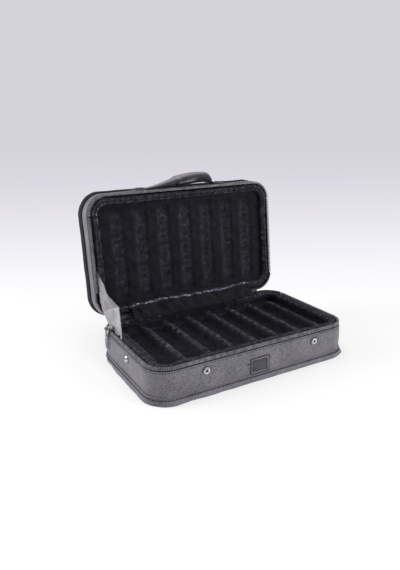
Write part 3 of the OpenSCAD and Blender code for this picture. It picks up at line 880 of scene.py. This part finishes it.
def carried(line_yz, x, waves, seed):
    """A section line in the Y-Z plane carried along X, with soft waves square to it."""
    y, z = along(line_yz, LINE, closed=False).T
    grid = np.stack(np.broadcast_arrays(x[:, None], y[None], z[None]), -1).astype(float)
    free = np.sin(np.pi * np.linspace(0, 1, LINE))
    grid[..., 1] += waves * free * ripples(grid, 30, seed)
    grid[..., 2] += 0.5 * waves * free * ripples(grid, 17, seed + 1)
    return grid


back = CASE_D / 2 + 0.7
cover_line = np.array([[back, HINGE_Z - 15], [back, HINGE_Z - 2], shut_yz(back, HINGE_Z + 1.4),
                       shut_yz(back, HINGE_Z + 15)])
cover_grid = carried(cover_line, np.linspace(-100.5, 100.5, 160), 0.25, 71)
cover = thin_sheet("hinge_strip", cover_grid, 1.0, hinge_finish, ["hinge_cover"])
# Painted shade: the strip's face inside the hinge gap is painted near black.
write_value(cover, "worn", np.repeat([1.0, 0.0], len(cover.data.vertices) // 2))
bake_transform(cover)

near = CASE_D / 2 - PAD_IN - 0.7
flap_line = np.array([[near, 33.4], [near, BASE_H + 0.6], shut_yz(near, SHUT_H - LID_H + 1),
                      shut_yz(near, SHUT_H - LID_H + 6.4)])
flap_grid = carried(flap_line, np.linspace(-86, 86, 150), 0.5, 73)
across = np.arange(LINE)
sewn_edges = (across < 2) | (across > LINE - 3)
flap_grid = settled("hinge_flap_plush", flap_grid, grid_faces(150, LINE)[0], sewn_edges, 0.0, 0.05,
                    1.8)
flap = thin_sheet("hinge_flap_plush", flap_grid, 1.2, plush_finish, ["hinge_flap"])
# Painted highlight: a thin bright line along the flap's length, near where it meets the lid.
write_value(flap, "crest", np.tile(1.2 * np.exp(-((across - 28) ** 2) / 1.6), 2 * 150))
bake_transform(flap)

# %% [markdown]
# The gusset is sewn between tape and padding on the left wall, from the base's rim up to the lid's.
# Its free front edge hangs in a curve and turns in along a crease, so the cloth shows a darker upper
# face and a lighter lower one.

# %% Satin gusset
def gusset_grid(rows=46, cols=60):
    """Points between the seam on the base (t = 0) and the seam on the lid (t = 1), bowed into the
    case by a half sine that fades towards the hinge, with a crease running across the free edge."""
    s, t = np.meshgrid(np.linspace(0, 1, rows), np.linspace(0, 1, cols), indexing="ij")
    foot = np.stack([15 + 33 * s, BASE_H - 3 + 0 * s], -1)
    at_lid = swing_open(np.stack([0 * s, 14 + 34 * s, SHUT_H - LID_H + 3 + 0 * s], -1))[..., 1:]
    yz = foot + t[..., None] * (at_lid - foot)
    fade = (1 - s) ** 1.2
    yz[..., 0] += 3.5 * fade * np.sin(np.pi * np.clip(t / 0.5, 0, 1)) ** 2
    bow = 9 * fade * np.sin(np.pi * t) * (0.7 + 0.3 * np.sin(2 * np.pi * t))
    fold = (t - 0.46 - 0.16 * s) / 0.07
    crease = 3.0 * fade ** 0.5 * np.exp(-np.abs(fold)) * np.sin(np.pi * t)
    folds = 0.8 * np.sin(np.pi * t) * np.sin(10 * s + 5 * t) * (0.4 + 0.6 * s)
    x = -CASE_W / 2 + PAD_OUT - 0.25 + bow + crease + folds * fade
    return np.concatenate([x[..., None], yz], -1)


hanging = gusset_grid()
rows, cols = hanging.shape[:2]
hem = np.isin(np.arange(cols), (0, cols - 1))
hanging = settled("satin_gusset", hanging, grid_faces(rows, cols)[0], hem, 0.0, 0.03, 1.2)
gusset = thin_sheet("satin_gusset", hanging, 0.4, satin_finish, ["side_gusset"])
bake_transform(gusset)

# %% [markdown]
# ## Handle
#
# The handle is a strap folded round padding and sewn to the lid's front band at both ends. Its
# middle line rises slowly to a crown right of the middle and drops steeply. The section is an oval
# that swells from the flat strap to the full grip, and the cloth puckers where the strap is bent.
# Round a section, 90 degrees is its top and 180 degrees its side towards the base.

# %% Handle grip, straps and sewn ends
FOOT, RISE, CROWN, FOOT_H = 50.0, 11.0, 22.0, 1.6
GRIP, GRIP_W, GRIP_T, STRAP_W, STRAP_T = (-8.0, 42.0), 20.0, 10.0, 12.0, 1.6
WRAP_FILL, ROUND_OFF, STEEPER, SIDES = 0.85, 12.0, 1.35, 72
HANDLE_Z = SHUT_H - 16.5
ANGLE = np.linspace(0, 360, SIDES, endpoint=False)[None, :]


def arch(x):
    """Height over the band: a half cosine wave up to the crown and a steeper one down."""
    up = (x + FOOT) / (CROWN + FOOT)
    down = STEEPER * (FOOT - x) / (FOOT - CROWN)
    t = np.clip(np.where(x < CROWN, up, down), 0, 1)
    return FOOT_H + (RISE - FOOT_H) * (1 - np.cos(np.pi * t)) / 2


def padding(x):
    """How full the handle is: steadily more up to the grip, then full, and rounded off by a
    quarter circle at the grip's right end."""
    fill = np.interp(x, [-FOOT, GRIP[0], GRIP[0] + ROUND_OFF], [0, WRAP_FILL, 1])
    to_end = np.clip((GRIP[1] - x) / ROUND_OFF, 0, 1)
    return fill * np.sqrt(1 - (1 - to_end) ** 2)


def handle_rings(x, grow=0.0):
    """Oval sections square to the arch, in the shut lid's place, flat as a strap without padding
    and full as the grip with it; `grow` makes them larger."""
    fill, x = padding(x)[:, None], x[:, None]
    wide = STRAP_W + (GRIP_W - STRAP_W) * fill + grow
    thick = STRAP_T + (GRIP_T - STRAP_T) * fill + grow
    a = np.linspace(0, 2 * math.pi, SIDES, endpoint=False)[None, :]
    c, d = np.cos(a), np.sin(a)
    across = wide / 2 * np.sign(c) * np.abs(c) ** 0.6
    up = thick / 2 * np.sign(d) * np.abs(d) ** 0.8
    lean = np.arctan((arch(x + 0.1) - arch(x - 0.1)) / 0.2)
    y = -CASE_D / 2 - arch(x) - up * np.cos(lean)
    return np.stack([x - up * np.sin(lean), y, HANDLE_Z + across], -1)


def tube(name, points, worn, stands_for):
    """A closed tube from rings of points, each end made of two smaller rings. Its point value
    marks a painted highlight, high on its top where the light falls."""
    def shrunk(ring, k):
        return ring.mean(1, keepdims=True) + (ring - ring.mean(1, keepdims=True)) * k

    first, last = points[:1], points[-1:]
    points = np.concatenate([shrunk(first, 0.02), shrunk(first, 0.6), points,
                             shrunk(last, 0.6), shrunk(last, 0.02)])
    faces, _ = grid_faces(*points.shape[:2], closed_cols=True)
    obj = new_mesh(name, swing_open(points), faces)
    write_value(obj, "worn", np.concatenate([worn[:1], worn[:1], worn, worn[-1:], worn[-1:]]))
    return finish_piece(obj, None, handle_finish, stands_for)


x = np.linspace(*GRIP, 130)
rings = handle_rings(x, 0.7)
middle = rings.mean(1, keepdims=True)
wrinkle = 0.02 * ripples(rings, 9, 81) + 0.03 * ripples(rings * [1, 0.5, 0.5], 16, 82)
lip = bump_at(ANGLE, 212, 7) * (ease(x, -8, -5) * (1 - ease(x, 13, 21)))[:, None]
belly = 2.2 * bump_at(ANGLE, 264, 28) * (ease(x, -8, -4) * (1 - ease(x, 30, 39)))[:, None]
arm = rings - middle
reach = np.linalg.norm(arm, axis=-1, keepdims=True)
rings = middle + arm * (1 + wrinkle * padding(x)[:, None])[..., None]
rings = rings + (1.2 * lip + belly)[..., None] * arm / reach
ends_sewn = ((x < GRIP[0] + 1) | (x > GRIP[1] - 2))[:, None]
faces = grid_faces(*rings.shape[:2], closed_cols=True)[0][:, ::-1]
rings = settled("handle_grip_cloth", rings, faces, ends_sewn, 0.6, 0.03, 0.8)
# Painted highlight on the handle's top and on the lip of the grip; the sides keep the dark tone.
lit_top = ease(np.sin(np.radians(ANGLE)), 0.1, 0.8)
grip = tube("handle_grip_cloth", rings, np.clip(lit_top + lip, 0, 1), ["handle_grip"])
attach(grip, "handle")
RUNS = (("left", (-FOOT, GRIP[0]), (-0.047, -0.012)), ("right", (GRIP[1], FOOT), (0.0495, 0.0425)))
for name, ends, weight in RUNS:
    x = np.linspace(*ends, 60)
    strap = tube(f"handle_strap_{name}_cloth", handle_rings(x), lit_top + 0 * x[:, None],
                 [f"handle_strap_{name}"])
    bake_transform(strap)
print("handle: grip and two straps")

# %% [markdown]
# The sewn ends and the front patch are small pads of cloth: a rounded rectangle whose edge is
# rolled down. Two boxes of stitches hold the front patch.

# %% Sewn pads and their stitches
def pad_grid(w, h, thick, r, count=220, rings=44):
    """A rounded rectangle from its edge to its middle; the height rises by a quarter circle."""
    a = np.linspace(0, 2 * math.pi, count, endpoint=False)
    c, d = np.cos(a), np.sin(a)
    n = 2 / (1 - min(w, h) / 2 / (min(w, h) / 2 + 2 * r) * 0.8)
    edge = np.stack([w / 2 * np.sign(c) * np.abs(c) ** (2 / n),
                     h / 2 * np.sign(d) * np.abs(d) ** (2 / n)], -1)
    k = np.linspace(1, 0, rings + 1)[:-1]
    rise = np.sqrt(1 - np.clip(1 - (1 - k) * 4, 0, 1) ** 2)
    flat = edge[None] * k[:, None, None]
    height = np.broadcast_to((thick * rise)[:, None, None], flat.shape[:2] + (1,))
    top = np.concatenate([flat, height], -1)
    under = edge[None] * k[::-1, None, None]
    under = np.concatenate([under, np.zeros(under.shape[:2] + (1,))], -1)
    return np.concatenate([under, top])


def sewn_pad(name, to_world, w, h, thick, r, body, material, stands_for, fray=0.0, welt=0.0,
             seed=0, wear=0.0):
    """A pad whose top has soft unevenness and, with `welt`, a raised hem and ribs inside it. With a
    welt, the hem and a spot near its lower left corner get a painted highlight; without one, the
    whole pad is mixed evenly a little towards the painted tone.
    """
    p = pad_grid(w, h, thick, r)
    top = p[..., 2] > 0
    depth = np.minimum(w / 2 - np.abs(p[..., 0]), h / 2 - np.abs(p[..., 1]))
    hem = bump_at(depth, 2.3, 0.55)
    ribs = np.cos(2 * math.pi * p[..., 0] / 2.6) * ease(depth, 3, 4)
    spot = bump_at(np.hypot(p[..., 0] + w / 2 - 1.6, p[..., 1] + h / 2 - 0.9), 0, 1.0)
    p[..., 2] += (0.12 * thick * ripples(p, 4, seed) + welt * (hem + 0.25 * ribs + spot)) * top
    p[..., :2] *= 1 + fray * ripples(p, 2.2, seed + 1)[..., None]
    faces, _ = grid_faces(*p.shape[:2], closed_cols=True)
    obj = new_mesh(name, to_world(p), faces, flip=True)
    # Painted highlight on the hem and spot; without a welt, an even share of the painted tone.
    write_value(obj, "worn", np.clip(0.8 * hem + spot if welt else 0 * hem + wear, 0, 1))
    return finish_piece(obj, body, material, stands_for)


def front_face(p):
    """x to the right, y up, z out of the base's front band, from the middle of the patch."""
    return np.stack([p[..., 0] - 0.9, -CASE_D / 2 - p[..., 2], BINDING_H + 10.3 + p[..., 1]], -1)


sewn_pad("front_patch_cloth", front_face, 25.8, 19.6, 0.9, 0.8, "base", patch_finish,
         ["front_patch"], 0.01, 0.5, 91)

for side, name in ((-1, "left"), (1, "right")):
    def lid_front(p, side=side):
        x, y = side * 56.3 + p[..., 0], -CASE_D / 2 - p[..., 2]
        return swing_open(np.stack([x, y, HANDLE_Z + p[..., 1]], -1))

    sewn_pad(f"handle_end_{name}", lid_front, 12, 13, 3.2, 3, "lid", handle_finish,
             ["handle_anchors"], seed=95 + side, wear=0.15)


def box_of_stitches(name, to_world, w, h, z, pitch, body, thick=0.3, share=0.75):
    """Stitches round a rectangle w by h, in a pad's own plane."""
    corners = np.array([[-w, -h], [w, -h], [w, h], [-w, h]]) / 2
    centre, heading = [], []
    for start, end in zip(corners, np.roll(corners, -1, axis=0)):
        length = np.abs(end - start).sum()
        way = (end - start) / length
        count = max(1, round(length / pitch))
        t = (np.arange(count) + 0.5) * length / count
        centre.append(start + t[:, None] * way)
        heading.append(np.repeat([way], count, 0))
    centre, heading = np.concatenate(centre), np.concatenate(heading)
    flat = np.concatenate([centre, np.full((len(centre), 1), z)], 1)
    tip = flat + np.concatenate([heading, np.zeros((len(centre), 1))], 1) * 0.1
    over = flat + np.array([0, 0, 0.1])
    base = to_world(flat)
    ahead, out = (to_world(tip) - base) * 10, (to_world(over) - base) * 10
    return thread_bows(name, base, ahead, out, pitch * share, thick, body)


box_of_stitches("patch_hem_stitches", front_face, 24.2, 18, 0.8, 2.3, "base", 0.5, 0.62)
box_of_stitches("patch_inner_stitches", front_face, 18, 11.8, 0.85, 2.3, "base", 0.36)
loose_end = front_face(np.array([[-14.4, 3.4, 0.6]]))
thread_bows("loose_thread", loose_end, np.array([[0.97, 0.0, 0.2]]),
            np.array([[0.0, -1.0, 0.0]]), 6.5, 0.4, "base")

# %% Stitches along the handle's left run
x = np.arange(-46, GRIP[0] - 1, 2.3)
for name, degrees in (("near", 148), ("far", 32)):
    k = round(degrees / 360 * SIDES)
    here, ahead = swing_open(handle_rings(x)), swing_open(handle_rings(x + 0.1))[:, k]
    outward = here[:, k] - here.mean(1)
    outward /= np.linalg.norm(outward, axis=1, keepdims=True)
    forward = (ahead - here[:, k]) / np.linalg.norm(ahead - here[:, k], axis=1, keepdims=True)
    row = thread_bows(f"handle_stitches_{name}", here[:, k] + 0.05 * outward, forward, outward,
                      1.7, 0.26, None)
    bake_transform(row)

# %% [markdown]
# ## Camera, floor and light
#
# The camera's place, heading and focal length were worked out from the straight edges of the case.
# The light is a big soft box above and one on each side. The floor is pale, and far away it fades
# into the colour of the backdrop.

# %% Camera
IMAGE_H, FOCAL_PX, SENSOR = 570, 527.1, 36
EYE, AIM = np.array([-304.98, -483.47, 272.42]), np.array([-17.8, 23.7, 80.2])
ROLL = math.radians(-0.69)
camera = bpy.data.objects.new("camera", bpy.data.cameras.new("camera"))
bpy.context.scene.collection.objects.link(camera)
look = Vector(AIM - EYE).to_track_quat("-Z", "Y").to_matrix().to_4x4()
camera.matrix_world = Matrix.Translation(Vector(EYE * 0.001)) @ look @ Matrix.Rotation(ROLL, 4, "Z")
camera.data.sensor_width = SENSOR
camera.data.lens = FOCAL_PX * SENSOR / IMAGE_H
camera.data.shift_y = 2.5 / IMAGE_H
camera.data.clip_start, camera.data.clip_end = 0.01, 60
bpy.context.scene.camera = camera
print(f"lens {camera.data.lens:.1f} mm")

# %% Floor and backdrop colour
FAR_COLOUR = (0.665, 0.645, 0.708)
BACKDROP = [(0.063, FAR_COLOUR), (0.118, (0.708, 0.687, 0.761)), (0.174, (0.783, 0.761, 0.815)),
            (0.233, (0.855, 0.847, 0.896)), (0.293, (0.939, 0.93, 0.973)), (0.356, (1, 1, 1))]
FAR = 9000
floor = new_mesh("floor", [[-FAR, -FAR, 0], [FAR, -FAR, 0], [FAR, FAR, 0], [-FAR, FAR, 0]],
                 [[0, 1, 2, 3]])
b = Bench("floor")
ahead = b.node("ShaderNodeVectorMath", {"operation": "DOT_PRODUCT"},
               {0: b.place, 1: (0.492, 0.87, 0)}, output=1)
steepness = (EYE[2] * 0.001) / (ahead + 0.571)
backdrop = b.ramp(steepness, BACKDROP)
beyond = b.node("ShaderNodeMapRange", {"interpolation_type": "SMOOTHSTEP"},
                {"Value": ahead, "From Min": 0.1, "From Max": 0.4})
seen = b.node("ShaderNodeLightPath") + b.node("ShaderNodeLightPath", output=3)
share = (beyond * 0.45 + 0.55) * seen
paper = b.node("ShaderNodeBsdfDiffuse", {}, {"Color": (0.9, 0.9, 0.9, 1)})
glow = b.node("ShaderNodeEmission", {}, {"Color": backdrop})
both = b.node("ShaderNodeMixShader", {}, {0: share, 1: paper, 2: glow})
b.node("ShaderNodeOutputMaterial", {}, {"Surface": both})
floor.data.materials.append(b.owner)

# %% World and lamps
world = bpy.data.worlds.new("studio")
bpy.context.scene.world = world
b = Bench("studio", world)
lit = b.node("ShaderNodeBackground", {}, {"Color": (0.95, 0.95, 1.0, 1), "Strength": 0.4})
far = b.node("ShaderNodeBackground", {}, {"Color": (*FAR_COLOUR, 1)})
both = b.node("ShaderNodeMixShader", {}, {0: b.node("ShaderNodeLightPath"), 1: lit, 2: far})
b.node("ShaderNodeOutputWorld", {}, {"Surface": both})


def soft_box(name, place, size, watts):
    """A square lamp aimed at the case."""
    lamp = bpy.data.lights.new(name, "AREA")
    lamp.shape, lamp.size, lamp.energy = "SQUARE", size, watts
    obj = bpy.data.objects.new(name, lamp)
    bpy.context.scene.collection.objects.link(obj)
    obj.location = place
    aim = Vector((0, 0.02, 0.06)) - Vector(place)
    obj.rotation_euler = aim.to_track_quat("-Z", "Y").to_euler()


soft_box("left_box", (-1.2, 0.66, 0.6), 0.9, 15)
soft_box("right_box", (0.85, -1.15, 0.5), 0.8, 13)
soft_box("top_box", (-0.1, 0.0, 1.4), 1.0, 9)
bpy.context.scene.view_settings.view_transform = "Standard"
